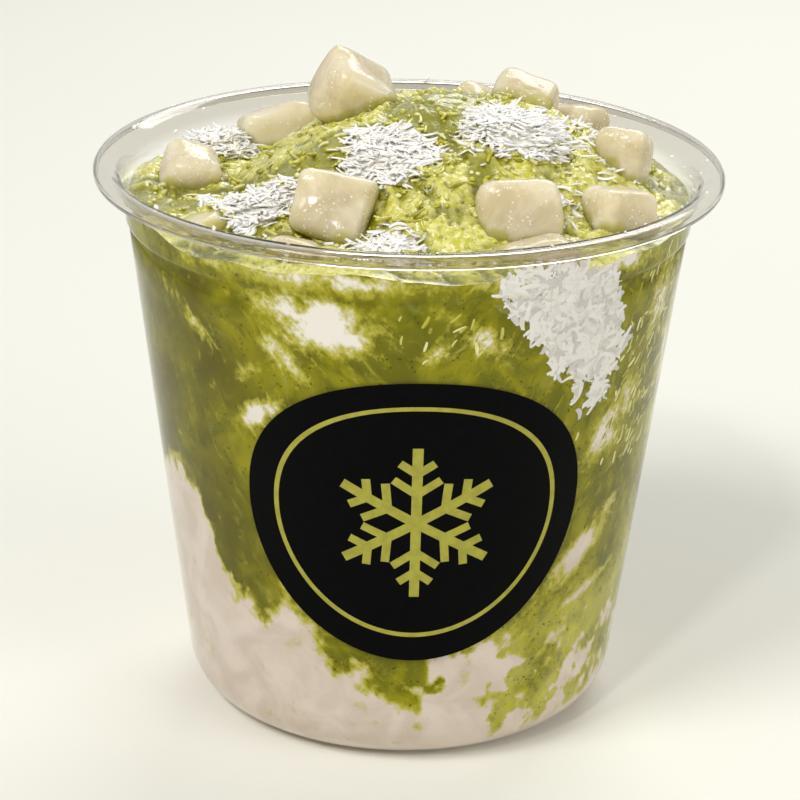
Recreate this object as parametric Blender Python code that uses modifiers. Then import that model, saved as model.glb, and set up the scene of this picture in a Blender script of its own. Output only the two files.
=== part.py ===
"""A shaved ice dessert in a clear plastic cup, built the way the real one is served.

The cup is one thermoformed sheet with a push-up base, a stacking ledge and a rolled rim.
White milk ice lies at the bottom of it, heaped green ice fills the rest and rises over the
rim, cubes of pale fruit are pressed into the heap, and piles of shredded coconut lie on it.

Lengths are metres, +Z is up, and the origin is the centre of the cup's base on the table.
The cup's front is at -Y.
"""

import math
import random

import bmesh
import bpy
from mathutils import Euler, Matrix, Vector

MM = 0.001
SEGMENTS = 48  # sides of every round piece
CLEARANCE = 0.35 * MM  # gap between pieces that touch

# The cup, measured on the surface that holds the food unless it says otherwise.
CUP_WALL = 0.7 * MM  # thickness of the sheet
RIM_RADIUS = 60.0 * MM  # outside of the rolled rim
RIM_TOP = 108.6 * MM
PUSH_UP = 1.6 * MM  # how far the middle of the base is raised
PUSH_UP_RADIUS = 25.2 * MM
FOOT_INNER_RADIUS = 28.0 * MM
CORNER_RADIUS = 10.9 * MM  # outside rounding between the base and the wall
FOOT_OUTER_RADIUS = 31.3 * MM
WALL_BASE_RADIUS = 41.0 * MM  # outside of the wall, carried straight down to the table
WALL_SLOPE = 0.1284  # how much wider the wall gets for each unit of height
LEDGE_Z = 97.4 * MM  # stacking ledge, a small step outwards
LEDGE_HEIGHT = 0.7 * MM
LEDGE_STEP = 0.55 * MM
COLLAR_TOP = 103.0 * MM  # the collar flares into the rim above this
COLLAR_SLOPE = 0.06

# The rolled rim, as (radius, height) from the flare to the free edge of the curl.
RIM_CURL = [
    (54.2 * MM, 105.3 * MM),
    (55.4 * MM, 107.2 * MM),
    (56.9 * MM, 108.3 * MM),
    (58.1 * MM, RIM_TOP),
    (59.2 * MM, 108.3 * MM),
    (59.9 * MM, 107.5 * MM),
    (RIM_RADIUS, 106.6 * MM),
    (59.8 * MM, 106.0 * MM),
]

# The heap of green ice.
ICE_LEVEL = 102.6 * MM  # its edge, just under the rim
HEAP_RISE = 17.0 * MM
HEAP_CENTRE = Vector((8.0 * MM, 2.0 * MM))
HEAP_RADIUS = 41.0 * MM
HEAP_FULLNESS = 1.15  # the lower, the fuller the shoulders
SHOULDER_RISE = 2.5 * MM  # a low shoulder at the front left
SHOULDER_CENTRE = Vector((-22.0 * MM, -14.0 * MM))
SHOULDER_RADIUS = 20.0 * MM
SHOULDER_FULLNESS = 1.5

# The white milk ice under it is deep on the left and thins out to the right.
LAYER_MIDDLE = 21.0 * MM
LAYER_TILT = 0.50
LAYER_LEAST = 4.6 * MM
LAYER_BLEND = 2.5 * MM

CUBE_ROUNDING = 2.4 * MM
CUBE_UNEVENNESS = 0.11  # how far a corner strays, as a share of the side

# name, (x, y) and lift of the centre over the heap, (length, width, height), turn in degrees
FRUIT_CUBES = [
    ("top", (-11.3, 10.6), 3.4, (12.6, 11.4, 12.8), (24, 28, 20)),
    ("back_left", (-26.6, 30.0), 1.8, (14.0, 11.0, 9.0), (-10, -12, 24)),
    ("left", (-41.4, 3.6), 1.7, (11.0, 11.0, 8.6), (8, 16, 8)),
    ("front_left", (-13.4, -27.6), 1.8, (13.4, 11.0, 12.6), (-24, 10, -12)),
    ("front_right", (20.0, -29.6), 1.2, (15.6, 11.5, 12.6), (-16, -9, 9)),
    ("right", (37.8, -23.4), 1.8, (12.2, 10.6, 10.0), (-8, 10, 33)),
    ("far_right", (40.6, -1.8), 0.4, (10.0, 11.0, 14.0), (-12, 8, -18)),
    ("back_right", (22.4, 14.2), -0.4, (13.4, 11.0, 9.4), (10, 14, -14)),
    ("back_middle", (13.2, 37.5), 2.0, (10.6, 10.0, 10.4), (12, 24, 35)),
    ("sunk_front_right", (22.2, -41.6), -2.4, (14.5, 8.5, 9.5), (0, -6, 26)),
    ("sunk_front_left", (-19.8, -41.4), -1.8, (12.0, 8.0, 9.0), (0, 5, -24)),
    ("sunk_left", (-37.4, -25.6), -2.0, (8.4, 8.0, 7.6), (6, -6, -36)),
    ("far_back_right", (32.6, 27.6), 1.2, (10.6, 10.2, 10.4), (-10, 12, 42)),
]

# name, (x, y) of the centre, radius and height over the heap
COCONUT_PILES = [
    ("middle", (-3.4, -17.0), 8.8, 2.6),
    ("right", (19.8, -9.2), 9.0, 2.8),
    ("left", (-27.6, -20.6), 7.2, 2.6),
    ("back_left", (-37.4, 24.4), 6.8, 3.6),
    ("front", (-3.2, -39.8), 6.0, 2.6),
]


def clear_scene():
    for item in list(bpy.data.objects):
        bpy.data.objects.remove(item, do_unlink=True)


def new_collection(name):
    collection = bpy.data.collections.new(name)
    bpy.context.scene.collection.children.link(collection)
    return collection


def new_material(name, colour, roughness, transmission=0.0):
    material = bpy.data.materials.new(name)
    material.use_nodes = True
    shader = material.node_tree.nodes["Principled BSDF"]
    shader.inputs["Base Color"].default_value = (*colour, 1.0)
    shader.inputs["Roughness"].default_value = roughness
    shader.inputs["Metallic"].default_value = 0.0
    shader.inputs["Transmission Weight"].default_value = transmission
    return material


def new_object(name, mesh, collection, material=None):
    item = bpy.data.objects.new(name, mesh)
    collection.objects.link(item)
    if material is not None:
        mesh.materials.append(material)
    return item


def evaluated_mesh(item):
    """The object's mesh with its modifiers applied."""
    depsgraph = bpy.context.evaluated_depsgraph_get()
    return bpy.data.meshes.new_from_object(item.evaluated_get(depsgraph), depsgraph=depsgraph)


def apply_modifiers(item):
    mesh = evaluated_mesh(item)
    item.modifiers.clear()
    item.data = mesh


def triangulate(mesh):
    shape = bmesh.new()
    shape.from_mesh(mesh)
    bmesh.ops.triangulate(shape, faces=shape.faces)
    shape.to_mesh(mesh)
    shape.free()


def lathe(name, path, collection, material=None):
    """Turns a path of (radius, height) points once round the Z axis."""
    mesh = bpy.data.meshes.new(name)
    points = [(radius, 0.0, height) for radius, height in path]
    edges = [(i, i + 1) for i in range(len(points) - 1)]
    mesh.from_pydata(points, edges, [])
    item = new_object(name, mesh, collection, material)
    screw = item.modifiers.new("Turn", "SCREW")
    screw.axis = "Z"
    screw.angle = math.tau
    screw.steps = SEGMENTS
    screw.render_steps = SEGMENTS
    screw.use_merge_vertices = True
    screw.merge_threshold = 1e-5
    return item


def wall_radius_at(z, inset=0.0):
    """Radius of the wall's inner surface at height z, moved into the cup by inset.

    It leaves out the stacking ledge, so that ice made with it clears the ledge.
    """
    size = CORNER_RADIUS - CUP_WALL - inset
    draft = math.atan(WALL_SLOPE)
    if z <= CORNER_RADIUS - size * math.sin(draft):
        drop = min(CORNER_RADIUS - z, size)
        return FOOT_OUTER_RADIUS + math.sqrt(size * size - drop * drop)
    return WALL_BASE_RADIUS + WALL_SLOPE * z - (CUP_WALL + inset) / math.cos(draft)


def floor_at(radius, inset=0.0):
    """Height of the cup's floor at a radius inside the foot, raised by inset."""
    run = (FOOT_INNER_RADIUS - radius) / (FOOT_INNER_RADIUS - PUSH_UP_RADIUS)
    return CUP_WALL + inset + PUSH_UP * min(max(run, 0.0), 1.0)


def build_cup(collection):
    """The sheet's inner surface turned round the axis, thickened outwards."""
    floor_radii = [0.0, PUSH_UP_RADIUS, FOOT_INNER_RADIUS, FOOT_OUTER_RADIUS]
    path = [(radius, floor_at(radius)) for radius in floor_radii]
    draft = math.atan(WALL_SLOPE)
    corner_steps = 5
    for step in range(1, corner_steps + 1):
        turn = (math.pi / 2 - draft) * step / corner_steps
        size = CORNER_RADIUS - CUP_WALL
        radius = FOOT_OUTER_RADIUS + size * math.sin(turn)
        path.append((radius, CORNER_RADIUS - size * math.cos(turn)))
    ledge_radius = wall_radius_at(LEDGE_Z)
    collar_rise = COLLAR_TOP - LEDGE_Z - LEDGE_HEIGHT
    path.append((ledge_radius, LEDGE_Z))
    path.append((ledge_radius + LEDGE_STEP, LEDGE_Z + LEDGE_HEIGHT))
    path.append((ledge_radius + LEDGE_STEP + COLLAR_SLOPE * collar_rise, COLLAR_TOP))
    path += RIM_CURL
    material = new_material("clear_plastic", (0.93, 0.93, 0.91), 0.08, transmission=0.9)
    cup = lathe("cup", path, collection, material)
    sheet = cup.modifiers.new("Sheet", "SOLIDIFY")
    sheet.thickness = CUP_WALL
    sheet.offset = -1.0
    sheet.use_even_offset = True
    sheet.use_quality_normals = True
    return cup


def dome(x, y, centre, radius, fullness):
    """1 at the centre, falling smoothly to 0 at the radius."""
    reach = ((x - centre.x) ** 2 + (y - centre.y) ** 2) / (radius * radius)
    return max(1.0 - reach, 0.0) ** fullness


def heap_height(x, y):
    """Top of the heaped green ice over a point of the table."""
    height = ICE_LEVEL
    height += HEAP_RISE * dome(x, y, HEAP_CENTRE, HEAP_RADIUS, HEAP_FULLNESS)
    height += SHOULDER_RISE * dome(x, y, SHOULDER_CENTRE, SHOULDER_RADIUS, SHOULDER_FULLNESS)
    u, v = x / MM, y / MM
    height += 0.8 * MM * math.sin(0.21 * u + 0.6) * math.cos(0.19 * v - 0.5)
    height += 0.5 * MM * math.sin(0.15 * u - 0.25 * v + 1.1)
    return height


def layer_height(x, y):
    """Top of the white milk ice: a tilted, wavy surface that never reaches the floor."""
    u, v = x / MM, y / MM
    height = LAYER_MIDDLE - LAYER_TILT * x
    height += 1.6 * MM * math.sin(0.13 * u + 0.11 * v + 0.8)
    height += 1.0 * MM * math.cos(0.17 * v - 0.10 * u)
    excess = (height - LAYER_LEAST) / LAYER_BLEND
    return LAYER_LEAST + LAYER_BLEND * (math.log1p(math.exp(min(excess, 30.0))) if excess < 30.0 else excess)


def edge_at(turn, height_of, inset):
    """The point, in one direction from the axis, where a surface meets the cup's wall."""
    z = height_of(0.0, 0.0)
    for _ in range(12):
        radius = wall_radius_at(z, inset)
        z = height_of(radius * math.cos(turn), radius * math.sin(turn))
    return radius, z


def build_ice(name, bottom_of, top_of, side_steps, collection, material):
    """Ice that fills the cup between two surfaces.

    A unit cylinder is turned from a path, and each of its points is then moved: the ends
    follow the two surfaces, and the side follows the cup's wall. Without a bottom surface
    the ice lies on the cup's floor.
    """
    inset = CLEARANCE
    floor_shares = (PUSH_UP_RADIUS / FOOT_OUTER_RADIUS, FOOT_INNER_RADIUS / FOOT_OUTER_RADIUS)
    end_shares = (0.0, 0.20, 0.40, 0.60, *floor_shares)
    path = [(share, 1.0) for share in end_shares]
    path += [(1.0, step) for step in reversed(side_steps)]
    path += [(share, 0.0) for share in reversed(end_shares)]
    body = lathe(name, path, collection, material)
    apply_modifiers(body)
    for vertex in body.data.vertices:
        x, y, step = vertex.co
        share = math.hypot(x, y)
        turn = math.atan2(y, x)
        top_radius, top_z = edge_at(turn, top_of, inset)
        if bottom_of is None:
            bottom_radius, bottom_z = FOOT_OUTER_RADIUS, floor_at(FOOT_OUTER_RADIUS, inset)
        else:
            bottom_radius, bottom_z = edge_at(turn, bottom_of, inset)
        on_side = share > 0.99
        if on_side:
            z = bottom_z + (top_z - bottom_z) * step
            radius = wall_radius_at(z, inset)
        elif step > 0.5:
            radius = top_radius * share
            z = top_of(radius * math.cos(turn), radius * math.sin(turn))
        else:
            radius = bottom_radius * share
            if bottom_of is None:
                z = floor_at(radius, inset)
            else:
                z = bottom_of(radius * math.cos(turn), radius * math.sin(turn))
        vertex.co = (radius * math.cos(turn), radius * math.sin(turn), z)
    triangulate(body.data)
    return body


def cut(body, cutters):
    """Subtracts the cutters from the body, one after another."""
    for number, cutter in enumerate(cutters):
        difference = body.modifiers.new(f"Cut_{number}", "BOOLEAN")
        difference.operation = "DIFFERENCE"
        difference.solver = "EXACT"
        difference.object = cutter


def hide_cutter(item):
    item.hide_render = True
    item.display_type = "WIRE"


def build_cube(name, place, lift, size, turn, seed, collection, material):
    """One cube of soft fruit: a box with strayed corners and rounded edges."""
    stray = random.Random(seed)
    mesh = bpy.data.meshes.new(name)
    shape = bmesh.new()
    bmesh.ops.create_cube(shape, size=1.0)
    for vertex in shape.verts:
        for axis in range(3):
            vertex.co[axis] += stray.uniform(-CUBE_UNEVENNESS, CUBE_UNEVENNESS)
            vertex.co[axis] *= size[axis] * MM
    shape.to_mesh(mesh)
    shape.free()
    cube = new_object(name, mesh, collection, material)
    x, y = place[0] * MM, place[1] * MM
    cube.location = (x, y, heap_height(x, y) + lift * MM)
    cube.rotation_euler = Euler([math.radians(angle) for angle in turn])
    rounding = cube.modifiers.new("Rounding", "BEVEL")
    rounding.width = CUBE_ROUNDING
    rounding.segments = 2
    rounding.limit_method = "NONE"
    bpy.context.view_layer.update()
    apply_modifiers(cube)
    triangulate(cube.data)
    return cube


def build_cube_cutter(cube, collection):
    """The cube grown by the clearance on every side, to cut what it is pressed into."""
    mesh = cube.data.copy()
    outward = [Vector(vertex.normal) for vertex in mesh.vertices]
    for vertex, normal in zip(mesh.vertices, outward):
        vertex.co += normal * CLEARANCE * 1.1
    cutter = new_object(f"cut_{cube.name}", mesh, collection)
    cutter.matrix_world = cube.matrix_world.copy()
    hide_cutter(cutter)
    return cutter


def build_pile(name, place, radius, height, seed, collection, material):
    """One pile of shredded coconut: a flat, uneven mound that reaches below the heap."""
    stray = random.Random(seed)
    phases = [stray.uniform(0.0, math.tau) for _ in range(3)]
    mesh = bpy.data.meshes.new(name)
    shape = bmesh.new()
    bmesh.ops.create_icosphere(shape, subdivisions=2, radius=1.0)
    x, y = place[0] * MM, place[1] * MM
    for vertex in shape.verts:
        turn = math.atan2(vertex.co.y, vertex.co.x)
        swell = 1.0 + 0.10 * math.sin(2 * turn + phases[0]) + 0.07 * math.sin(3 * turn + phases[1])
        u = vertex.co.x * radius * MM * swell
        v = vertex.co.y * radius * MM * swell
        bump = 1.0 + 0.15 * math.sin(5 * vertex.co.x + phases[2]) * math.cos(4 * vertex.co.y)
        rise = vertex.co.z * height * MM * bump
        vertex.co = (x + u, y + v, heap_height(x + u, y + v) + rise)
    shape.to_mesh(mesh)
    shape.free()
    return new_object(name, mesh, collection, material)


def build_heap_cutter(green_ice, collection):
    """The green ice raised by the clearance, to cut the undersides of the piles."""
    mesh = green_ice.data.copy()
    mesh.transform(Matrix.Translation((0.0, 0.0, CLEARANCE * 1.2)))
    cutter = new_object("cut_heap", mesh, collection)
    hide_cutter(cutter)
    return cutter


def build_all():
    clear_scene()
    parts = new_collection("shaved_ice_dessert")
    cutters = new_collection("cutters")

    build_cup(parts)

    half_gap = CLEARANCE / 2
    white = new_material("milk_ice", (0.66, 0.58, 0.47), 0.55)
    fine_near_floor = (0.0, 0.03, 0.08, 0.16, 0.27, 0.42, 0.60, 0.80, 1.0)
    build_ice(
        "milk_ice",
        None,
        lambda x, y: layer_height(x, y) - half_gap,
        fine_near_floor,
        parts,
        white,
    )

    green = new_material("green_ice", (0.32, 0.30, 0.03), 0.35)
    even = (0.0, 0.08, 0.18, 0.32, 0.50, 0.70, 0.88, 1.0)
    green_ice = build_ice(
        "green_ice",
        lambda x, y: layer_height(x, y) + half_gap,
        heap_height,
        even,
        parts,
        green,
    )
    heap_cutter = build_heap_cutter(green_ice, cutters)

    pale = new_material("fruit", (0.64, 0.55, 0.36), 0.20)
    cube_cutters = []
    for seed, (label, place, lift, size, turn) in enumerate(FRUIT_CUBES, start=1):
        name = f"fruit_cube_{label}"
        cube = build_cube(name, place, lift, size, turn, seed, parts, pale)
        cube_cutters.append(build_cube_cutter(cube, cutters))
    cut(green_ice, cube_cutters)

    coconut = new_material("coconut", (0.86, 0.84, 0.78), 0.50)
    for seed, (label, place, radius, height) in enumerate(COCONUT_PILES, start=50):
        name = f"coconut_pile_{label}"
        pile = build_pile(name, place, radius, height, seed, parts, coconut)
        cut(pile, [heap_cutter, *cube_cutters])


build_all()
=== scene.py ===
"""The looks of a shaved ice dessert in a clear plastic cup, built round its CAD frame.

The frame is in metres with +Z up, the origin under the middle of the cup and the cup's front
at -Y. Shapes are worked out here in millimetres and made into meshes in metres.
"""

import itertools
import math
import random

import bmesh
import bpy
import numpy as np
from mathutils import Matrix, Vector


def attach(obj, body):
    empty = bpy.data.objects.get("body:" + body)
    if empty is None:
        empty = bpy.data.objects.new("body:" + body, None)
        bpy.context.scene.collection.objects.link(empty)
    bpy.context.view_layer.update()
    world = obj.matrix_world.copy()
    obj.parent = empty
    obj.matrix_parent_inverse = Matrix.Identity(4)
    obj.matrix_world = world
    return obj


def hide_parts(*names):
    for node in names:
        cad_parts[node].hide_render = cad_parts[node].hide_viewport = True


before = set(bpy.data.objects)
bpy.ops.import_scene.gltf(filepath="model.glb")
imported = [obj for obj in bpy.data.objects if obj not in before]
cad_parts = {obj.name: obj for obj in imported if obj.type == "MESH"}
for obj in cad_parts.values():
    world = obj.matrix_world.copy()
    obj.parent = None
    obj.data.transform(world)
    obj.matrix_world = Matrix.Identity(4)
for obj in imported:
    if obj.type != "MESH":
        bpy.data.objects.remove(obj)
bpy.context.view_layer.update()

MM = 0.001
TURN_STEPS = 512  # points round the cup's axis

# The cup, as in the CAD.
CUP_WALL = 0.7
WALL_BASE_RADIUS = 41.0
WALL_SLOPE = 0.1284
CORNER_RADIUS = 10.9
FOOT_OUTER_RADIUS = 31.3
LEDGE_Z = 97.4
LEDGE_TOP = 98.1
LEDGE_STEP = 0.55
COLLAR_SLOPE = 0.06
PRESSED_IN = 0.22  # how far the ice reaches into the wall's sheet

# name, (x, y), radius and height of each pile of shredded coconut, and its number of shreds
PILES = {
    "middle": ((-3.4, -17.0), 8.8, 2.4, 190),
    "right": ((19.8, -9.2), 9.6, 2.8, 250),
    "left": ((-27.6, -20.6), 7.4, 2.4, 150),
    "back_left": ((-37.4, 24.4), 7.6, 3.2, 170),
    "front": ((-3.2, -39.8), 6.2, 2.4, 100),
}


# ------------------------------------------------------------------ colours and nodes


def srgb(red, green, blue):
    """Linear colour of an sRGB colour given from 0 to 255."""
    linear = []
    for part in (red, green, blue):
        share = part / 255
        linear.append(share / 12.92 if share <= 0.04045 else ((share + 0.055) / 1.055) ** 2.4)
    return (*linear, 1.0)


class Nodes:
    """A short way to build a material's node tree."""

    def __init__(self, name):
        self.material = bpy.data.materials.new(name)
        self.material.use_nodes = True
        self.tree = self.material.node_tree
        self.shader = self.tree.nodes["Principled BSDF"]
        self.output = self.tree.nodes["Material Output"]

    def add(self, kind, inputs=None, **settings):
        node = self.tree.nodes.new(kind)
        for key, value in settings.items():
            setattr(node, key, value)
        for key, value in (inputs or {}).items():
            self.set(node.inputs[key], value)
        return node

    def set(self, socket, value):
        if isinstance(value, bpy.types.NodeSocket):
            self.tree.links.new(value, socket)
        else:
            socket.default_value = value

    def place(self):
        return self.add("ShaderNodeTexCoord").outputs["Object"]

    def leaning(self, where, angle, stretch):
        """Coordinates in which noise is drawn out along a direction in the X-Z plane."""
        turned = self.add(
            "ShaderNodeMapping", {"Vector": where, "Rotation": (0.0, math.radians(angle), 0.0)}
        ).outputs["Vector"]
        inputs = {"Vector": turned, "Scale": (1.0, 1.0, 1.0 / stretch)}
        return self.add("ShaderNodeMapping", inputs).outputs["Vector"]

    def attribute(self, name):
        return self.add("ShaderNodeAttribute", attribute_name=name).outputs["Fac"]

    def noise(self, where, scale, detail=3.0, roughness=0.5, distortion=0.0):
        inputs = {
            "Vector": where,
            "Scale": scale,
            "Detail": detail,
            "Roughness": roughness,
            "Distortion": distortion,
        }
        return self.add("ShaderNodeTexNoise", inputs).outputs["Fac"]

    def cells(self, where, scale):
        inputs = {"Vector": where, "Scale": scale}
        return self.add("ShaderNodeTexVoronoi", inputs).outputs["Distance"]

    def math(self, operation, first, second=0.0):
        node = self.add("ShaderNodeMath", operation=operation)
        self.set(node.inputs[0], first)
        self.set(node.inputs[1], second)
        return node.outputs[0]

    def ramp(self, value, low, high, to_low=0.0, to_high=1.0):
        """Value between low and high, smoothly made a value between to_low and to_high."""
        inputs = {
            "Value": value,
            "From Min": low,
            "From Max": high,
            "To Min": to_low,
            "To Max": to_high,
        }
        node = self.add("ShaderNodeMapRange", inputs, interpolation_type="SMOOTHSTEP")
        return node.outputs["Result"]

    def mix(self, share, first, second):
        node = self.add("ShaderNodeMix", data_type="RGBA")
        self.set(node.inputs["Factor"], share)
        self.set(node.inputs[6], first)
        self.set(node.inputs[7], second)
        return node.outputs[2]

    def bump(self, height, distance, strength=1.0, normal=None):
        inputs = {"Height": height, "Distance": distance, "Strength": strength}
        if normal is not None:
            inputs["Normal"] = normal
        return self.add("ShaderNodeBump", inputs).outputs["Normal"]

    def finish(self, **values):
        """Sets the shader's inputs, with _ for a space in their names."""
        for key, value in values.items():
            self.set(self.shader.inputs[key.replace("_", " ")], value)
        return self.material


# ------------------------------------------------------------------ noise in numpy


def hashed(cells, seed):
    """A repeatable number from 0 to 1 for each row of whole numbers."""
    steps = (0x9E3779B1, 0x85EBCA77, 0xC2B2AE3D)
    mixed = np.full(len(cells), (seed * 0x27D4EB2F + 0x165667B1) & 0xFFFFFFFF, np.uint64)
    for axis in range(cells.shape[1]):
        part = (cells[:, axis].astype(np.int64) & 0xFFFFFFFF).astype(np.uint64)
        mixed = (mixed ^ (part * np.uint64(steps[axis]))) & np.uint64(0xFFFFFFFF)
        mixed = (mixed ^ (mixed >> np.uint64(15))) * np.uint64(0x2C1B3C6D)
        mixed = mixed & np.uint64(0xFFFFFFFF)
        mixed = (mixed ^ (mixed >> np.uint64(13))) * np.uint64(0x297A2D39)
        mixed = mixed & np.uint64(0xFFFFFFFF)
    return (mixed ^ (mixed >> np.uint64(16))).astype(np.float64) / 0xFFFFFFFF


def soft_noise(points, size, seed):
    """Smooth noise from -1 to 1 with features of that size."""
    scaled = points / size
    cell = np.floor(scaled).astype(np.int64)
    part = scaled - cell
    part = part * part * (3 - 2 * part)
    total = np.zeros(len(points))
    for corner in itertools.product((0, 1), repeat=points.shape[1]):
        weight = np.prod(np.where(np.array(corner) == 1, part, 1 - part), axis=1)
        total += weight * hashed(cell + np.array(corner), seed)
    return total * 2 - 1


def fractal(points, size, seed, octaves=3):
    total = np.zeros(len(points))
    for octave in range(octaves):
        total += soft_noise(points, size / 2**octave, seed + octave) / 2**octave
    return total


def grains(points, size, seed):
    """Round humps, one per cell: their height from 0 to 1, and a random number for each."""
    scaled = points / size
    cell = np.floor(scaled).astype(np.int64)
    nearest = np.full(len(points), 9.0)
    number = np.zeros(len(points))
    for corner in itertools.product((-1, 0, 1), repeat=2):
        other = cell + np.array(corner)
        heart = other + np.stack([hashed(other, seed), hashed(other, seed + 1)], axis=1)
        away = np.linalg.norm(scaled - heart, axis=1)
        closer = away < nearest
        nearest = np.where(closer, away, nearest)
        number = np.where(closer, hashed(other, seed + 2), number)
    return np.sqrt(np.clip(1 - (nearest / 0.75) ** 2, 0, 1)), number


def smooth_step(value, low, high):
    share = np.clip((value - low) / (high - low), 0, 1)
    return share * share * (3 - 2 * share)


# ------------------------------------------------------------------ meshes


def new_piece(name, points, faces, material, nodes=()):
    """A piece of the dessert from points in millimetres. It rides on the dessert's one body."""
    mesh = bpy.data.meshes.new(name)
    mesh.from_pydata((np.asarray(points) * MM).tolist(), [], faces)
    shape = bmesh.new()
    shape.from_mesh(mesh)
    bmesh.ops.recalc_face_normals(shape, faces=shape.faces)
    shape.to_mesh(mesh)
    shape.free()
    mesh.polygons.foreach_set("use_smooth", [True] * len(mesh.polygons))
    mesh.materials.append(material)
    piece = bpy.data.objects.new(name, mesh)
    bpy.context.scene.collection.objects.link(piece)
    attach(piece, "root")
    if nodes:
        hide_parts(*nodes)
    return piece


def store(piece, name, values):
    """Keeps a value for each point of a piece, which its material reads."""
    attribute = piece.data.attributes.new(name, "FLOAT", "POINT")
    attribute.data.foreach_set("value", np.asarray(values, np.float32))


def ring_faces(rings, steps):
    """Faces between rings of points, each ring with the same number of steps."""
    faces = []
    for ring in range(rings - 1):
        low = ring * steps
        high = low + steps
        for step in range(steps):
            after = (step + 1) % steps
            faces.append((low + step, low + after, high + after, high + step))
    return faces


def wall_radius(z, inset=0.0):
    """Radius of the wall's inner surface, for an array of heights."""
    z = np.asarray(z, float)
    size = CORNER_RADIUS - CUP_WALL - inset
    draft = math.atan(WALL_SLOPE)
    drop = np.clip(CORNER_RADIUS - z, 0, size)
    corner = FOOT_OUTER_RADIUS + np.sqrt(size * size - drop * drop)
    wall = WALL_BASE_RADIUS + WALL_SLOPE * np.minimum(z, LEDGE_Z) - (CUP_WALL + inset) / math.cos(draft)
    wall += LEDGE_STEP * np.clip((z - LEDGE_Z) / (LEDGE_TOP - LEDGE_Z), 0, 1)
    wall += COLLAR_SLOPE * np.clip(z - LEDGE_TOP, 0, None)
    return np.where(z <= CORNER_RADIUS - size * math.sin(draft), corner, wall)


# ------------------------------------------------------------------ the ice


def dome(x, y, centre, radius, fullness):
    reach = ((x - centre[0]) ** 2 + (y - centre[1]) ** 2) / radius**2
    return np.clip(1 - reach, 0, 1) ** fullness


def heap_height(x, y):
    """Top of the heaped ice without its relief, as in the CAD."""
    height = 102.6 + 17.0 * dome(x, y, (8.0, 2.0), 41.0, 1.15)
    height += 2.5 * dome(x, y, (-22.0, -14.0), 20.0, 1.5)
    height += 0.8 * np.sin(0.21 * x + 0.6) * np.cos(0.19 * y - 0.5)
    height += 0.5 * np.sin(0.15 * x - 0.25 * y + 1.1)
    return height


def pile_share(x, y):
    """1 in the middle of a pile of coconut, 0 outside the piles."""
    share = np.zeros_like(x)
    for centre, radius, _, _ in PILES.values():
        share = np.maximum(share, dome(x, y, centre, radius, 0.8))
    return share


def heap_relief(x, y):
    """Height of the ice's uneven surface, with how pale, how sunken and how covered it is."""
    flat = np.stack([x, y], axis=1)
    bent = flat + 1.6 * np.stack([fractal(flat, 7, 11), fractal(flat, 7, 17)], axis=1)
    swell = fractal(flat, 13, 21, 3)
    lumps, _ = grains(bent, 5.2, 31)
    beads, kind = grains(bent, 2.3, 41)
    crumbs, _ = grains(flat + 0.5 * (bent - flat), 1.15, 43)
    fine = fractal(flat, 1.5, 51, 2)
    pool = smooth_step(fractal(flat, 14, 61, 2), 0.02, 0.42)
    pile = pile_share(x, y)
    rough = (1 - 0.75 * pool) * smooth_step(np.hypot(x, y), 54, 50)
    height = heap_height(x, y) + 0.7 * swell
    height += rough * (1.0 * lumps + 0.7 * beads * (0.3 + 0.7 * kind) + 0.3 * crumbs + 0.3 * fine) - 0.8
    for centre, radius, rise, _ in PILES.values():
        height += 0.62 * rise * dome(x, y, centre, radius, 0.9)
    # paler on the tops of the lumps and swells: partly paler ice, partly a painted highlight
    pale = 0.5 * lumps + 0.6 * beads * kind + 0.35 * crumbs + 0.3 * fine + 0.6 * swell - 0.9 * pool - 0.1
    return height, pale, pool, pile


def wall_noise(turn, z, size, seed, octaves=3):
    """Noise on the wall that carries on all the way round."""
    around = np.stack([47 * np.sin(turn), -47 * np.cos(turn), z], axis=1)
    return fractal(around, size, seed, octaves)


# degrees round from the front, height, half-width and half-height in mm, lean and strength
WHITE_PATCHES = [
    (-17, 92.5, 10.5, 4.6, -0.18, 1.2),
    (-14, 101.0, 20.0, 2.0, 0.0, 0.6),
    (24, 101.5, 10.0, 2.0, 0.0, 0.7),
    (40, 101.5, 13.0, 3.4, 0.0, 1.25),
    (-38, 101.0, 12.0, 1.8, 0.1, 0.6),
    (-25, 84.5, 5.0, 2.6, -0.7, 0.62),
    (-34, 80.5, 2.4, 1.6, 0.3, 0.6),
    (-32, 72.0, 4.6, 2.8, 0.4, 0.75),
    (-50, 88.0, 8.0, 2.0, -0.6, 0.42),
    (13, 91.5, 7.5, 2.6, -0.5, 0.66),
    (6, 88.0, 3.0, 1.8, 0.4, 0.6),
    (52, 68.0, 7.0, 5.5, 0.8, 0.75),
    (48, 42.5, 8.0, 3.4, 0.75, 1.1),
    (55, 48.0, 3.0, 2.4, 0.5, 0.8),
    (50, 32.5, 9.0, 1.2, 0.35, 0.8),
    (64, 90.0, 5.0, 8.0, 0.3, 0.45),
    (76, 70.0, 4.0, 16.0, 0.0, 0.55),
    (72, 36.0, 4.0, 9.0, 0.0, 0.6),
    (110, 60.0, 14.0, 6.0, 0.4, 0.8),
    (150, 88.0, 12.0, 5.0, -0.3, 0.9),
    (-150, 74.0, 9.0, 5.0, 0.5, 0.8),
    (-115, 92.0, 10.0, 4.0, 0.2, 0.8),
    (175, 40.0, 12.0, 5.0, -0.4, 0.8),
]

# azimuth in degrees and height of the border between the white ice and the green above it
BORDER = [
    (-180, 30), (-140, 24), (-105, 40), (-74, 50), (-62, 53), (-54, 50), (-50, 39), (-44, 32),
    (-35, 30), (-29, 36), (-24, 33), (-15, 24), (-5, 20), (3, 13), (12, 10), (25, 8), (40, 7),
    (60, 8), (90, 12), (120, 22), (150, 30), (180, 30),
]


# azimuth in degrees and height of the corners of a patch of coconut against the wall
COCONUT_AT_WALL = [(20.5, 104), (46, 99.5), (50.5, 76), (45, 75), (34, 82), (29.5, 88), (22.5, 95)]


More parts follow.
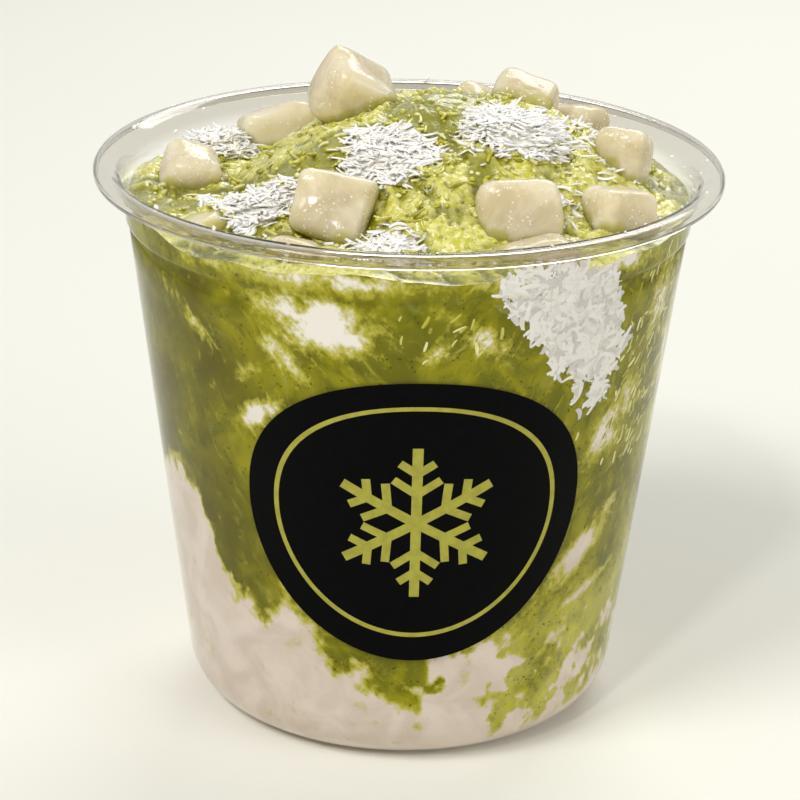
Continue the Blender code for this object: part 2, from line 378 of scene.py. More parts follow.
def inside_outline(x, y, corners):
    """Whether each point lies inside a closed outline."""
    inside = np.zeros(len(x), bool)
    for (x0, y0), (x1, y1) in zip(corners, corners[1:] + corners[:1]):
        crosses = (y0 > y) != (y1 > y)
        at = x0 + (y - y0) * (x1 - x0) / ((y1 - y0) or 1e-9)
        inside ^= crosses & (x < at)
    return inside


def near_coconut(turn, z):
    """Whether points at the wall lie in the patch of coconut, whose edge is ragged."""
    across = np.degrees(turn) + 5.0 * wall_noise(turn, z, 5.0, 131, 3)
    up = z + 5.0 * wall_noise(turn, z, 4.0, 141, 3)
    return inside_outline(across, up, COCONUT_AT_WALL)


def white_at_wall(turn, z):
    """How white the ice is where it lies against the wall: under 0 green, over 1 white."""
    degrees = np.degrees(turn)
    along = wall_noise(turn, z, 15, 71)
    small = wall_noise(turn, z, 4.2, 81)
    border = np.interp(degrees, *zip(*BORDER))
    tiny = wall_noise(turn, z, 2.2, 151, 2)
    share = (border + 4.0 * along + 2.8 * small + 1.6 * tiny - z) / 6.0 + 0.5
    mottled = smooth_step(degrees, -12, 12) * smooth_step(degrees, 100, 75)
    mottled *= smooth_step(z, 33, 20)
    share = np.maximum(share, mottled * (0.46 + 0.9 * along + 1.1 * small + 0.8 * tiny))
    for middle, height, wide, tall, lean, strength in WHITE_PATCHES:
        across = (degrees - middle + 180) % 360 - 180
        across = np.radians(across) * (WALL_BASE_RADIUS + WALL_SLOPE * height)
        up = z - height - lean * across
        reach = (across / wide) ** 2 + (up / tall) ** 2
        patch = strength * np.exp(-1.05 * reach) * (1.08 + 0.75 * small + 0.5 * along)
        share = np.maximum(share, patch)
    coconut = near_coconut(turn, z)
    return np.clip(np.where(coconut, 1.3, share), 0, 1.3)


def pale_at_wall(turn, z):
    """How pale the green is against the wall: darker on the left, where the dark is painted shade, and
    paler low on the right.
    """
    degrees = np.degrees(turn)
    swirl = wall_noise(turn, z + 8 * np.sin(turn * 3), 9, 121)
    pale = 0.22 * swirl - 0.15
    # painted shade: the green is made darker on the wall's left side
    pale -= 0.40 * smooth_step(degrees, -15, -50) * smooth_step(degrees, -110, -80)
    pale += 0.50 * smooth_step(degrees, 0, 30) * smooth_step(z, 44, 24) * smooth_step(degrees, 100, 75)
    pale += 0.15 * smooth_step(degrees, 0, 35) * smooth_step(degrees, 100, 75)
    pale += 0.35 * smooth_step(z, 96, 101)
    pale += 0.45 * smooth_step(z, 96, 99) * smooth_step(degrees, -12, -26) * smooth_step(degrees, -80, -60)
    return pale


def green_puree(n, where, pale, streak, fine, speckled):
    """The puree's colour, from how pale it is, with swirls and fine brown specks."""
    broad = n.noise(where, 85, 3, 0.55, 1.6)
    swirl = n.noise(where, 150, 4, 0.6, 2.4)
    green = n.mix(n.ramp(broad, 0.32, 0.68), srgb(104, 104, 0), srgb(147, 142, 4))
    green = n.mix(n.ramp(streak, 0.54, 0.74, 0.0, 0.7), green, srgb(180, 168, 34))
    green = n.mix(n.ramp(streak, 0.46, 0.30, 0.0, 0.8), green, srgb(98, 94, 0))
    green = n.mix(n.ramp(swirl, 0.58, 0.68, 0.0, 0.45), green, srgb(146, 146, 66))
    rise = n.math("ADD", pale, n.math("MULTIPLY", n.math("SUBTRACT", fine, 0.5), 0.9))
    # lit is the pale green: the ice's own paler green, and on the heap's raised lumps partly a painted
    # highlight
    lit = n.mix(n.ramp(fine, 0.35, 0.65), srgb(236, 232, 150), srgb(198, 192, 44))
    green = n.mix(n.ramp(rise, 0.18, 1.0), green, lit)
    # darkest green where pale is lowest: in the heap's pools, and on the wall's left side, where it is
    # painted shade
    green = n.mix(n.ramp(pale, -0.15, -0.75), green, srgb(88, 83, 0))
    specks = n.ramp(n.cells(where, 900), 0.24, 0.15)
    specks = n.math("MULTIPLY", specks, n.ramp(n.noise(where, 330, 2), 0.46, 0.54))
    return n.mix(n.math("MULTIPLY", specks, speckled), green, srgb(62, 42, 4))


def heap_material():
    """Wet puree over white ice, paler on the grains and lumps, partly as a painted highlight, deeper where
    it pools.
    """
    n = Nodes("ice_on_heap")
    where = n.place()
    fine = n.noise(where, 900, 4, 0.6)
    streak = n.noise(where, 330, 4, 0.65, 1.2)
    green = green_puree(n, where, n.attribute("pale"), streak, fine, 0.35)
    green = n.mix(n.math("MULTIPLY", n.attribute("pool"), 0.75), green, srgb(142, 140, 4))
    white = n.mix(n.ramp(streak, 0.52, 0.70), srgb(250, 247, 240), srgb(226, 220, 178))
    ragged = n.math("ADD", n.attribute("white"), n.math("SUBTRACT", streak, 0.5))
    share = n.ramp(ragged, 0.30, 0.62)
    height = n.math("ADD", n.math("MULTIPLY", streak, 0.6), n.math("MULTIPLY", fine, 0.4))
    return n.finish(
        Base_Color=n.mix(share, green, white),
        Roughness=n.ramp(fine, 0.3, 0.7, 0.12, 0.30),
        Normal=n.bump(height, 0.0007, 0.9),
        Coat_Weight=0.5,
        Coat_Roughness=0.05,
        Subsurface_Weight=0.2,
        Subsurface_Scale=1.0,
        Subsurface_Radius=(0.0016, 0.0016, 0.0005),
    )


def wall_material():
    """The two ices where they are pressed against the wall, feathered into each other."""
    n = Nodes("ice_against_wall")
    where = n.place()
    falling = n.noise(n.leaning(where, 42, 3.5), 520, 4, 0.65, 0.6)
    rising = n.noise(n.leaning(where, -35, 3.5), 520, 4, 0.65, 0.6)
    across = n.add("ShaderNodeSeparateXYZ", {"Vector": where}).outputs["X"]
    drawn = n.add("ShaderNodeMix", {"Factor": n.ramp(across, -0.004, 0.012)})
    n.set(drawn.inputs["A"], falling)
    n.set(drawn.inputs["B"], rising)
    streak = drawn.outputs["Result"]
    fine = n.noise(where, 900, 4, 0.6)
    green = green_puree(n, where, n.attribute("pale"), streak, fine, 0.8)

    broad = n.noise(where, 110, 3, 0.55, 0.8)
    high = n.add("ShaderNodeSeparateXYZ", {"Vector": where}).outputs["Z"]
    cream = n.mix(n.ramp(broad, 0.35, 0.70), srgb(222, 208, 197), srgb(207, 192, 178))
    cream = n.mix(n.ramp(high, 0.045, 0.085), cream, srgb(238, 232, 224))
    soft = n.noise(where, 260, 3, 0.5)
    blots = n.math("MULTIPLY", n.ramp(soft, 0.60, 0.72), n.ramp(broad, 0.44, 0.58))
    cream = n.mix(n.math("MULTIPLY", blots, 0.55), cream, srgb(188, 178, 104))

    edge = n.math("MULTIPLY", n.math("SUBTRACT", streak, 0.5), 1.0)
    edge = n.math("ADD", edge, n.math("MULTIPLY", n.math("SUBTRACT", fine, 0.5), 0.9))
    white = n.math("ADD", n.attribute("white"), edge)
    colour = n.mix(n.ramp(white, 0.10, 0.55), green, srgb(184, 176, 64))
    colour = n.mix(n.ramp(white, 0.42, 0.92), colour, cream)
    height = n.math("ADD", n.math("MULTIPLY", streak, 0.6), n.math("MULTIPLY", fine, 0.4))
    return n.finish(
        Base_Color=colour,
        Roughness=n.ramp(fine, 0.3, 0.7, 0.5, 0.7),
        Normal=n.bump(height, 0.0004, 0.3),
        Specular_IOR_Level=0.05,
    )


def edge_height(turn):
    """Where the ice's top meets the wall, for an array of directions."""
    z = np.full(len(turn), 103.0)
    for _ in range(8):
        radius = wall_radius(z, -PRESSED_IN)
        z = heap_relief(radius * np.sin(turn), -radius * np.cos(turn))[0]
    return z, wall_radius(z, -PRESSED_IN)


def build_ice():
    """The heap's relief and the ice against the wall, with a shared edge."""
    turn = np.linspace(-math.pi, math.pi, TURN_STEPS, endpoint=False)
    edge_z, edge_radius = edge_height(turn)

    ring_count = 150
    points, faces = [], []
    for ring in range(ring_count):
        share = (ring + 0.5) / (ring_count - 0.5)
        radius = edge_radius * min(share, 1.0)
        points.append(np.stack([radius * np.sin(turn), -radius * np.cos(turn)], axis=1))
    flat = np.concatenate(points)
    height, pale, pool, pile = heap_relief(flat[:, 0], flat[:, 1])
    height[-TURN_STEPS:] = edge_z
    top = np.column_stack([flat, height])
    faces = ring_faces(ring_count, TURN_STEPS)
    faces.append(range(TURN_STEPS))
    heap = new_piece("ice_heap", top, faces, heap_material(), ["green_ice"])
    store(heap, "white", 1.1 * smooth_step(pile, 0.02, 0.35))
    store(heap, "pale", pale)
    store(heap, "pool", pool)

    row_count = 170
    rows = []
    for row in range(row_count):
        share = row / (row_count - 1)
        z = edge_z + (CUP_WALL - 0.15 - edge_z) * share
        rows.append(np.column_stack([turn, z, wall_radius(z, -PRESSED_IN)]))
    rows = np.concatenate(rows)
    turns, z, radius = rows.T
    side = np.column_stack([radius * np.sin(turns), -radius * np.cos(turns), z])
    faces = ring_faces(row_count, TURN_STEPS)
    faces.append(range(len(side) - TURN_STEPS, len(side)))
    wall = new_piece("ice_at_wall", side, faces, wall_material(), ["milk_ice"])
    store(wall, "white", white_at_wall(turns, z))
    store(wall, "pale", pale_at_wall(turns, z))


# ------------------------------------------------------------------ shreds


def shred(length, width, thickness, bend, seed, steps=6):
    """One flat shred along X, curved and tapered, as points and faces."""
    stray = random.Random(seed)
    twist = stray.uniform(-0.8, 0.8)
    curl = stray.uniform(-1, 1) * bend
    lift = stray.uniform(-0.5, 0.5) * bend
    points, faces = [], []
    for step in range(steps + 1):
        share = step / steps
        slim = max(math.sin(math.pi * (0.12 + 0.76 * share)), 0.0) ** 0.4
        along = (share - 0.5) * length
        side = curl * length * (share - 0.5) ** 2
        up = lift * length * (share - 0.5) ** 2
        for corner in range(4):
            angle = math.pi / 2 * corner + twist * share + 0.4
            points.append((
                along,
                side + 0.5 * width * slim * math.cos(angle),
                up + 0.5 * thickness * slim * math.sin(angle),
            ))
    for step in range(steps):
        for corner in range(4):
            low = step * 4
            after = (corner + 1) % 4
            faces.append((low + corner, low + after, low + 4 + after, low + 4 + corner))
    faces.append((3, 2, 1, 0))
    last = steps * 4
    faces.append((last, last + 1, last + 2, last + 3))
    return np.array(points), faces


def join(shapes):
    """Several (points, faces) as one, and a random number from 0 to 1 for each one's points."""
    points, faces, first = [], [], 0
    for shape_points, shape_faces in shapes:
        points.append(shape_points)
        faces += [tuple(first + corner for corner in face) for face in shape_faces]
        first += len(shape_points)
    owner = np.repeat(np.arange(len(shapes)), [len(part) for part in points])
    return np.concatenate(points), faces, hashed(owner[:, None], 5)


def new_scatter(name, shapes, material, nodes=()):
    """Many small things of one kind as one piece, each with its own tone."""
    points, faces, tone = join(shapes)
    piece = new_piece(name, points, faces, material, nodes)
    store(piece, "tone", tone)
    return piece


def placed(shape, position, yaw, pitch, roll):
    points, faces = shape
    turn = Matrix.Rotation(yaw, 3, "Z") @ Matrix.Rotation(pitch, 3, "Y") @ Matrix.Rotation(roll, 3, "X")
    return points @ np.array(turn).T + np.array(position), faces


def relief_at(places):
    places = np.asarray(places)
    return heap_relief(places[:, 0], places[:, 1])[0]


def lying_shreds(places, seed, lengths, width, thickness, lift, tilt, bend=0.5):
    """Shreds that lie on the heap at those places, as one shape."""
    stray = random.Random(seed)
    heights = relief_at(places)
    shapes = []
    for number, ((x, y), z) in enumerate(zip(places, heights)):
        size = stray.uniform(0.75, 1.2)
        shape = shred(
            stray.uniform(*lengths), width * size, thickness * size, bend, seed * 1000 + number
        )
        position = (x, y, z + stray.uniform(*lift))
        pitch = stray.uniform(-tilt, tilt)
        shapes.append(placed(shape, position, stray.uniform(0, math.tau), pitch, stray.uniform(-0.6, 0.6)))
    return shapes


def coconut_material(name, white, grey):
    n = Nodes(name)
    where = n.place()
    broad = n.noise(where, 260, 3)
    fine = n.noise(where, 1500, 3)
    colour = n.mix(n.ramp(n.attribute("tone"), 0.45, 1.0), white, grey)
    colour = n.mix(n.math("MULTIPLY", n.ramp(broad, 0.60, 0.74), 0.35), colour, srgb(226, 220, 160))
    return n.finish(
        Base_Color=colour,
        Roughness=n.ramp(fine, 0.3, 0.7, 0.36, 0.60),
    )


def glazed_material():
    n = Nodes("glazed")
    where = n.place()
    tone = n.attribute("tone")
    broad = n.noise(where, 210, 3)
    fine = n.noise(where, 1200, 3)
    shade = n.math("ADD", n.math("MULTIPLY", tone, 0.65), n.math("MULTIPLY", broad, 0.5))
    colour = n.mix(n.ramp(shade, 0.25, 0.55), srgb(150, 146, 10), srgb(192, 186, 44))
    colour = n.mix(n.ramp(shade, 0.52, 0.85), colour, srgb(236, 231, 160))
    return n.finish(
        Base_Color=colour,
        Roughness=n.ramp(fine, 0.3, 0.7, 0.14, 0.30),
        Normal=n.bump(fine, 0.0002),
        Coat_Weight=0.4,
        Coat_Roughness=0.08,
        Subsurface_Weight=0.25,
        Subsurface_Scale=1.0,
        Subsurface_Radius=(0.0014, 0.0014, 0.0007),
    )


def granule(seed):
    """One lump of ice the size of a grain of rice, as points and faces."""
    stray = random.Random(seed)
    shape = bmesh.new()
    bmesh.ops.create_icosphere(shape, subdivisions=1, radius=1.0)
    stretch = (stray.uniform(0.9, 1.7), stray.uniform(0.75, 1.1), stray.uniform(0.6, 0.9))
    points = []
    for vertex in shape.verts:
        points.append([vertex.co[axis] * stretch[axis] * stray.uniform(0.84, 1.12) for axis in range(3)])
    faces = [tuple(vertex.index for vertex in face.verts) for face in shape.faces]
    shape.free()
    return np.array(points), faces


def build_piles(material):
    for seed, (name, (centre, radius, rise, count)) in enumerate(PILES.items(), start=3):
        stray = random.Random(seed)
        places = []
        while len(places) < 1.6 * count:
            reach = radius * 1.02 * math.sqrt(stray.random())
            angle = stray.uniform(0, math.tau)
            x = centre[0] + reach * math.cos(angle)
            y = centre[1] + reach * math.sin(angle)
            if math.hypot(x, y) < 50.5:
                places.append((x, y))
        shapes = lying_shreds(places, seed, (2.6, 6.4), 1.08, 0.4, (0.0, 0.24 * rise), 0.22, 0.9)
        new_scatter(f"coconut_{name}", shapes, material, [f"coconut_pile_{name}"])


def scattered(count, seed, near=None, spread=3.0, limit=50.0):
    """Places all over the heap, or near a list of places."""
    stray = random.Random(seed)
    places = []
    while len(places) < count:
        if near:
            x, y = stray.choice(near)
            x, y = x + stray.gauss(0, spread), y + stray.gauss(0, spread)
        else:
            x, y = stray.uniform(-limit, limit), stray.uniform(-limit, limit)
        if math.hypot(x, y) < limit:
            places.append((x, y))
    return places


def around_piles(count, seed):
    """Places along the edges of the piles of coconut."""
    stray = random.Random(seed)
    places = []
    while len(places) < count:
        centre, radius, _, _ = stray.choice(list(PILES.values()))
        reach = radius * stray.uniform(0.8, 1.4)
        angle = stray.uniform(0, math.tau)
        x, y = centre[0] + reach * math.cos(angle), centre[1] + reach * math.sin(angle)
        if math.hypot(x, y) < 50:
            places.append((x, y))
    return places


def build_loose(coconut, glazed):
    around = [
        (37, -6), (33, 6), (30, -22), (-34, 34), (-28, -27), (-8, -36), (12, -14), (-44, 16), (26, -28),
        (-41, 28), (-44, 22), (-38, 32), (-43, 25), (-40, 21), (-30, 38), (-36, 34), (-45, 17),
        (39, 10), (36, 16), (-34, -14), (28, 2),
    ]
    shapes = lying_shreds(
        scattered(400, 31, around, 2.8), 31, (2.2, 5.4), 1.0, 0.42, (-0.1, 0.5), 0.3, 0.8
    )
    new_scatter("coconut_loose", shapes, coconut)
    shapes = lying_shreds(
        scattered(150, 41) + around_piles(230, 43), 41, (2.4, 6.4), 0.95, 0.8, (-0.35, 0.1), 0.16, 1.0
    )
    new_scatter("glazed_shreds", shapes, glazed)

    stray = random.Random(51)
    places = [
        place for place in scattered(2600, 61)
        if pile_share(np.array([place[0]]), np.array([place[1]]))[0] < 0.15
    ][:1700]
    shapes = []
    for number, ((x, y), z) in enumerate(zip(places, relief_at(places))):
        points, faces = granule(number)
        points = points * stray.choice((0.4, 0.5, 0.6, 0.75))
        position = (x, y, z + stray.uniform(-0.35, 0.1))
        yaw, pitch = stray.uniform(0, math.tau), stray.uniform(-0.4, 0.4)
        shapes.append(placed((points, faces), position, yaw, pitch, 0))
    new_scatter("ice_grains", shapes, glazed)


def ribbon_on_wall(degrees, z, yaw, length, width, bend, layer):
    """A flat shred pressed against the wall, as points and faces."""
    share = np.linspace(0, 1, 6)
    along = (share - 0.5) * length
    side = bend * length * (share - 0.5) ** 2
    half = 0.5 * width * np.sin(math.pi * (0.14 + 0.72 * share)) ** 0.5
    middle = np.column_stack([along, side])
    edge = np.column_stack([np.zeros(6), half])
    flat = np.stack([middle - edge, middle, middle + edge], axis=1).reshape(-1, 2)
    flat = flat @ np.array(Matrix.Rotation(yaw, 2)).T
    height = z + flat[:, 1]
    radius = wall_radius(height, -PRESSED_IN) + 0.02 + layer + np.tile((-0.03, 0.03, -0.03), 6)
    turn = math.radians(degrees) + flat[:, 0] / radius
    faces = []
    for step in range(5):
        for low in (step * 3, step * 3 + 1):
            faces.append((low, low + 3, low + 4, low + 1))
    return np.column_stack([radius * np.sin(turn), -radius * np.cos(turn), height]), faces


def build_wall_shreds(coconut, glazed):
    """Coconut against the wall: a dense patch on the right, and strands in the green beside it."""
    stray = np.random.default_rng(77)
    degrees = stray.uniform(14, 58, 2600)
    z = stray.uniform(70, 105, 2600)
    inside = near_coconut(np.radians(degrees), z) & (z < 103.5)
    dense = []
    for turn, height in zip(degrees[inside][:760], z[inside]):
        yaw, length = stray.uniform(0, math.tau), stray.uniform(1.6, 4.8)
        width, bend = stray.uniform(0.6, 1.2), stray.uniform(-0.9, 0.9)
        dense.append(ribbon_on_wall(turn, height, yaw, length, width, bend, stray.uniform(0, 0.2)))
    # this coconut is the greyer copy, whose grey is painted shade
    new_scatter("coconut_at_wall", dense, coconut)

    degrees = np.concatenate([stray.normal(62, 8, 190), stray.normal(10, 6, 22)])
    z = np.concatenate([stray.uniform(58, 100, 190), stray.uniform(86, 95, 22)])
    strands = []
    for turn, height in zip(degrees, z):
        yaw, length = math.radians(62) + stray.normal(0, 0.45), stray.uniform(1.0, 2.8)
        width, bend = stray.uniform(0.35, 0.7), stray.uniform(-0.3, 0.3)
        strands.append(ribbon_on_wall(turn, height, yaw, length, width, bend, stray.uniform(0, 0.1)))
    new_scatter("strands_at_wall", strands, glazed)


def build_crumbs(coconut):
    """Crumbs of coconut that stick to the rim and to the wall just under it."""
    stray = random.Random(88)
    shapes = []
    for number in range(46):
        turn = stray.uniform(-math.pi, math.pi)
        radius, z = stray.choice(((55.4, 107.35), (56.9, 108.5), (58.3, 108.7), (54.0, 105.1)))
        points, faces = granule(900 + number)
        position = (radius * math.sin(turn), -radius * math.cos(turn), z)
        points = points * stray.uniform(0.22, 0.5)
        shapes.append(placed((points, faces), position, turn, 0.5, 0))
    new_scatter("coconut_crumbs", shapes, coconut)


# ------------------------------------------------------------------ fruit cubes


def fruit_material():
    """Pale jelly-like flesh, wet, with patches of fine bumps whose dots are painted near-white as
    highlights, and green puree low down.
    """
    n = Nodes("fruit")
    where = n.place()
    broad = n.noise(where, 130, 3, 0.6, 0.5)
    colour = n.mix(n.ramp(broad, 0.36, 0.66), srgb(226, 214, 186), srgb(204, 190, 154))
    colour = n.mix(n.math("MULTIPLY", n.attribute("stain"), 0.75), colour, srgb(176, 168, 48))
    patches = n.ramp(n.noise(where, 190, 2), 0.45, 0.58)
    sparkle_dots = n.math("MULTIPLY", n.ramp(n.cells(where, 1100), 0.32, 0.18), patches)
    # painted highlight: the sparkle dots are painted near-white in the colour; the same dots are also real
    # bumps
    colour = n.mix(n.math("MULTIPLY", sparkle_dots, 0.7), colour, srgb(254, 252, 246))
    smooth = n.bump(broad, 0.0005, 0.5)
    return n.finish(
        Base_Color=colour,
        Roughness=0.17,
        Normal=n.bump(sparkle_dots, 0.0004, 1.0, smooth),
        IOR=1.40,
        Subsurface_Weight=1.0,
        Subsurface_Scale=1.0,
        Subsurface_Radius=(0.0070, 0.0062, 0.0046),
    )


def build_cubes():
    material = fruit_material()
    names = sorted(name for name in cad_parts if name.startswith("fruit_cube_"))
    for seed, name in enumerate(names):
        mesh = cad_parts[name].data.copy()
        mesh.name = name.replace("fruit_cube", "fruit")
        cube = bpy.data.objects.new(mesh.name, mesh)
        bpy.context.scene.collection.objects.link(cube)
        remesh = cube.modifiers.new("Remesh", "REMESH")
        remesh.mode = "VOXEL"
        remesh.voxel_size = 0.55 * MM
        soften = cube.modifiers.new("Soften", "SMOOTH")
        soften.factor = 0.7
        soften.iterations = 8
        depsgraph = bpy.context.evaluated_depsgraph_get()
        shaped = bpy.data.meshes.new_from_object(cube.evaluated_get(depsgraph), depsgraph=depsgraph)
        bpy.data.objects.remove(cube)
        count = len(shaped.vertices)
        points = np.zeros(count * 3)
        normals = np.zeros(count * 3)
        shaped.vertices.foreach_get("co", points)
        shaped.vertices.foreach_get("normal", normals)
        points = points.reshape(-1, 3) / MM
        normals = normals.reshape(-1, 3)
        dent = 0.70 * soft_noise(points, 8.5, 200 + seed) + 0.16 * soft_noise(points, 3.4, 300 + seed)
        dent += 0.05 * soft_noise(points, 1.2, 400 + seed)
        points += normals * (0.12 + dent)[:, None]
        faces = [tuple(polygon.vertices) for polygon in shaped.polygons]
        piece = new_piece(mesh.name, points, faces, material, [name])
        above = points[:, 2] - relief_at(points[:, :2])
        ragged = above + 1.2 * soft_noise(points, 2.4, 500 + seed)
        store(piece, "stain", smooth_step(ragged, 2.2, 0.4))


# ------------------------------------------------------------------ the cup


def curved(points, steps):
    """A smooth run through points, with a number of steps between each two."""
    run = []
    padded = [points[0], *points, points[-1]]
    for a, b, c, d in zip(padded, padded[1:], padded[2:], padded[3:]):
        for step in range(steps):
            t = step / steps
            run.append(tuple(
                0.5 * (
                    2 * q + (r - p) * t
                    + (2 * p - 5 * q + 4 * r - s) * t**2 + (3 * q - p - 3 * r + s) * t**3
                )
                for p, q, r, s in zip(a, b, c, d)
            ))
    run.append(points[-1])
    return run


def plastic_material():
    """Clear plastic, tinted grey towards the rim as painted shade. Light for what is behind it passes
    straight through.
    """
    n = Nodes("clear_plastic")
    ripple = n.noise(n.place(), 60, 2)
    n.finish(
        Base_Color=n.mix(n.attribute("rim"), srgb(253, 253, 251), srgb(222, 219, 212)),
        Roughness=0.03,
        IOR=1.27,
        Transmission_Weight=1.0,
        Normal=n.bump(ripple, 0.0004, 0.35),
    )
    light = n.add("ShaderNodeLightPath").outputs
    passes = n.math("MAXIMUM", light["Is Shadow Ray"], light["Is Diffuse Ray"])
    clear = n.add("ShaderNodeBsdfTransparent", {"Color": (0.97, 0.97, 0.95, 1.0)})
    mixed = n.add("ShaderNodeMixShader")
    n.set(mixed.inputs[0], passes)
    n.set(mixed.inputs[1], n.shader.outputs[0])
    n.set(mixed.inputs[2], clear.outputs[0])
    n.set(n.output.inputs["Surface"], mixed.outputs[0])
    return n.material


def build_cup():
    """The cup's sheet: its inner side up to the rim, and its outer side down again."""
    draft = math.atan(WALL_SLOPE)
    inner = [(0.0, 2.3), (12.0, 2.3), (24.6, 2.3), (25.6, 2.1), (27.4, 0.9), (28.4, 0.7), (31.3, 0.7)]
    size = CORNER_RADIUS - CUP_WALL
    for step in range(1, 13):
        angle = (math.pi / 2 - draft) * step / 12
        inner.append((FOOT_OUTER_RADIUS + size * math.sin(angle), CORNER_RADIUS - size * math.cos(angle)))
    for z in (30, 50, 70, 90, LEDGE_Z - 0.3, LEDGE_Z, LEDGE_TOP, LEDGE_TOP + 0.3, 100.5, 103.0):
        inner.append((float(wall_radius(z)), z))
    inner += curved(
        [(54.2, 105.3), (55.4, 107.2), (56.9, 108.3), (58.1, 108.6), (59.2, 108.3), (59.9, 107.5),
         (60.0, 106.6), (59.8, 106.0)],
        5,
    )
    path = np.array(inner)
    along = np.gradient(path, axis=0)
    along /= np.linalg.norm(along, axis=1)[:, None]
    outward = np.column_stack([along[:, 1], -along[:, 0]])
    outer = path + outward * CUP_WALL
    outer[:7, 0] = path[:7, 0]
    outer[:7, 1] = path[:7, 1] - CUP_WALL
    profile = np.concatenate([path, outer[::-1]])
    profile[:, 0] = np.maximum(profile[:, 0], 0.02)
    steps = 256
    turn = np.linspace(0, math.tau, steps, endpoint=False)
    points = [
        np.column_stack([radius * np.cos(turn), radius * np.sin(turn), np.full(steps, z)])
        for radius, z in profile
    ]
    faces = ring_faces(len(profile), steps)
    last = (len(profile) - 1) * steps
    faces += [range(steps), range(last, last + steps)]
    points = np.concatenate(points)
    shell = new_piece("cup_shell", points, faces, plastic_material(), ["cup"])
    # painted shade: the rim share greys the plastic towards the rim
    store(shell, "rim", smooth_step(points[:, 2], 102.5, 106.0))


# ------------------------------------------------------------------ the print


def wrapped_on_wall(across, z, gap):
    """Points on the outside of the wall, from the distance round it and the height."""
    radius = WALL_BASE_RADIUS + WALL_SLOPE * z + gap
    turn = across / (WALL_BASE_RADIUS + WALL_SLOPE * 54)
    return np.column_stack([radius * np.sin(turn), -radius * np.cos(turn), z])


def print_material(name, colour):
    n = Nodes(name)
    fine = n.noise(n.place(), 500, 3)
    shade = n.mix(n.ramp(fine, 0.3, 0.7, 0.0, 0.2), colour, srgb(16, 16, 16))
    return n.finish(
        Base_Color=shade,
        Roughness=n.ramp(fine, 0.3, 0.7, 0.42, 0.52),
        Normal=n.bump(fine, 0.00005),
        Specular_IOR_Level=0.03,
    )


PRINT_MIDDLE = (2.6, 54.5)  # mm round the wall from the front, and height
PRINT_HALF_WIDTH = 32.6
PRINT_UP = 27.6
PRINT_DOWN = 30.4


def print_outline(angle):
    """The field's rounded outline, fuller above its middle than below."""
    c, s = math.cos(angle), math.sin(angle)
    power = 2 / (2.15 if s > 0 else 1.95)
    tall = PRINT_UP if s > 0 else PRINT_DOWN
    x = PRINT_HALF_WIDTH * math.copysign(abs(c) ** power, c)
    y = tall * math.copysign(abs(s) ** power, s)
    return np.array((x, y))


def flat_patch(outline_of, shares, gap, name, material):
    """A patch on the wall between shares of an outline round a middle."""
    steps = 160
    rings = []
    for share in shares:
        ring = np.array([share * outline_of(math.tau * step / steps) for step in range(steps)])
        rings.append(ring)
    flat = np.concatenate(rings) + np.array(PRINT_MIDDLE)
    points = wrapped_on_wall(flat[:, 0], flat[:, 1], gap)
    faces = ring_faces(len(shares), steps)
    return new_piece(name, points, faces, material)


def strip_points(start, end, width, steps=10):
    start, end = np.array(start), np.array(end)
    along = (end - start) / np.linalg.norm(end - start)
    side = np.array((-along[1], along[0])) * width / 2
    points, faces = [], []
    for step in range(steps + 1):
        middle = start + (end - start) * step / steps
        points += [middle - side, middle + side]
    for step in range(steps):
        low = step * 2
        faces.append((low, low + 2, low + 3, low + 1))
    return np.array(points), faces


def build_print():
    black = print_material("print_black", srgb(7, 7, 8))
    light = print_material("print_green", srgb(172, 168, 72))
    shares = [0.002, *np.linspace(0.1, 1.0, 10)]
    flat_patch(print_outline, shares, 0.06, "print_field", black)
    flat_patch(print_outline, (0.80, 0.83), 0.10, "print_ring", light)
    strips = []
    for arm in range(6):
        angle = math.radians(90 + 60 * arm)
        out = np.array((math.cos(angle), math.sin(angle)))
        strips.append(strip_points(out * 0.0, out * 15.5, 1.9))
        for reach, length in ((6.0, 5.2), (10.2, 3.8)):
            for side in (-1, 1):
                slant = angle + side * math.radians(55)
                tip = out * reach + length * np.array((math.cos(slant), math.sin(slant)))
                strips.append(strip_points(out * reach, tip, 1.6))
    flat, faces, _ = join(strips)
    flat = flat + np.array((PRINT_MIDDLE[0], PRINT_MIDDLE[1] - 1.0))
    points = wrapped_on_wall(flat[:, 0], flat[:, 1], 0.10)
    new_piece("print_snowflake", points, faces, light)


# ------------------------------------------------------------------ the stage


def add_light(name, place, aim, size, power):
    lamp = bpy.data.lights.new(name, "AREA")
    lamp.shape = "RECTANGLE"
    lamp.size, lamp.size_y = size
    lamp.energy = power
    item = bpy.data.objects.new(name, lamp)
    bpy.context.scene.collection.objects.link(item)
    item.location = place
    item.rotation_euler = (Vector(aim) - Vector(place)).to_track_quat("-Z", "Y").to_euler()


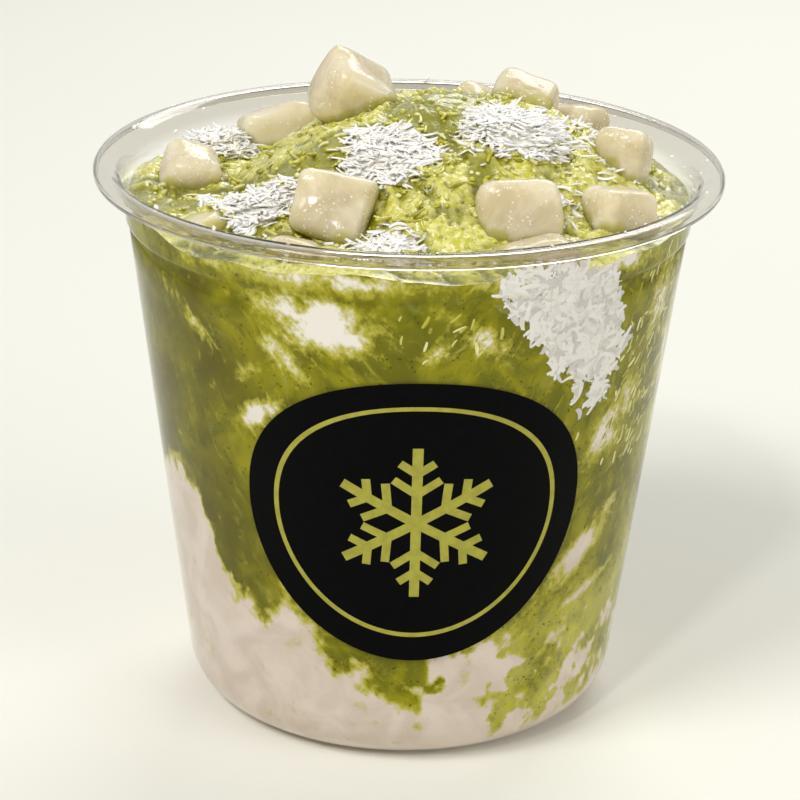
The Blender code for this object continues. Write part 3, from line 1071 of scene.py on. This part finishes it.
def build_stage():
    n = Nodes("floor")
    grain = n.noise(n.place(), 6, 2)
    n.finish(
        Base_Color=n.mix(grain, srgb(244, 243, 234), srgb(241, 240, 230)),
        Roughness=0.8,
        Specular_IOR_Level=0.1,
    )
    mesh = bpy.data.meshes.new("floor")
    size = 6.0
    corners = [(-size, -size, 0), (size, -size, 0), (size, size, 0), (-size, size, 0)]
    mesh.from_pydata(corners, [], [(0, 1, 2, 3)])
    mesh.materials.append(n.material)
    floor = bpy.data.objects.new("floor", mesh)
    bpy.context.scene.collection.objects.link(floor)

    world = bpy.data.worlds.new("studio")
    bpy.context.scene.world = world
    world.use_nodes = True
    tree = world.node_tree
    background = tree.nodes["Background"]
    background.inputs["Color"].default_value = (1.0, 0.99, 0.96, 1.0)
    # The backdrop is paler where it is seen, directly or in the cup, than as a lamp.
    light = tree.nodes.new("ShaderNodeLightPath").outputs
    seen = light["Is Camera Ray"]
    for kind in ("Is Glossy Ray", "Is Transmission Ray"):
        either = tree.nodes.new("ShaderNodeMath")
        either.operation = "MAXIMUM"
        tree.links.new(seen, either.inputs[0])
        tree.links.new(light[kind], either.inputs[1])
        seen = either.outputs[0]
    strength = tree.nodes.new("ShaderNodeMapRange")
    strength.inputs["To Min"].default_value = 0.31
    strength.inputs["To Max"].default_value = 0.80
    tree.links.new(seen, strength.inputs["Value"])
    tree.links.new(strength.outputs["Result"], background.inputs["Strength"])

    add_light("key", (-0.55, -0.55, 0.95), (0, 0, 0.07), (0.4, 0.4), 6.7)
    add_light("fill", (0.75, -0.55, 0.55), (0, 0, 0.06), (0.6, 0.5), 2.6)
    add_light("back", (0.25, 0.75, 0.75), (0, 0, 0.09), (0.7, 0.35), 4.6)
    add_light("glint", (-0.25, -0.75, 0.85), (0, 0, 0.10), (0.08, 0.08), 2.0)


def build_camera():
    """The camera looks down at the cup from the front, turned a little about its own axis."""
    distance = 0.600
    elevation = math.radians(21.3)
    roll = math.radians(-1.2)
    focal_pixels = 3051.0
    middle = Vector((0.0, 0.0, 0.0547))
    eye = middle + distance * Vector((0, -math.cos(elevation), math.sin(elevation)))
    right = Vector((1, 0, 0))
    up = Vector((0, math.sin(elevation), math.cos(elevation)))
    ahead = Vector((0, math.cos(elevation), -math.sin(elevation)))
    # The cup's middle is seen a little right of and below the centre of the picture.
    off = Matrix.Rotation(-roll, 2) @ Vector((-3.9, 21.8))
    ahead = (ahead * focal_pixels + right * off.x + up * off.y).normalized()
    picture_right = math.cos(roll) * right - math.sin(roll) * up
    picture_right = (picture_right - picture_right.dot(ahead) * ahead).normalized()
    picture_up = picture_right.cross(ahead)
    data = bpy.data.cameras.new("camera")
    data.sensor_width = 36.0
    data.lens = focal_pixels / 800 * 36.0
    data.clip_start = 0.01
    camera = bpy.data.objects.new("camera", data)
    bpy.context.scene.collection.objects.link(camera)
    turn = Matrix((picture_right, picture_up, -ahead)).transposed()
    camera.matrix_world = Matrix.Translation(eye) @ turn.to_4x4()
    bpy.context.scene.camera = camera


build_camera()
build_stage()
build_ice()
coconut = coconut_material("coconut", srgb(255, 254, 251), srgb(252, 248, 238))
# painted shade: the coconut against the wall is a greyer copy of the coconut
pressed = coconut_material("coconut_shaded_at_wall", srgb(236, 232, 228), srgb(204, 199, 194))
glazed = glazed_material()
build_piles(coconut)
build_loose(coconut, glazed)
build_wall_shreds(pressed, glazed)
build_crumbs(coconut)
build_cubes()
build_cup()
build_print()

bpy.context.scene.view_settings.view_transform = "Standard"
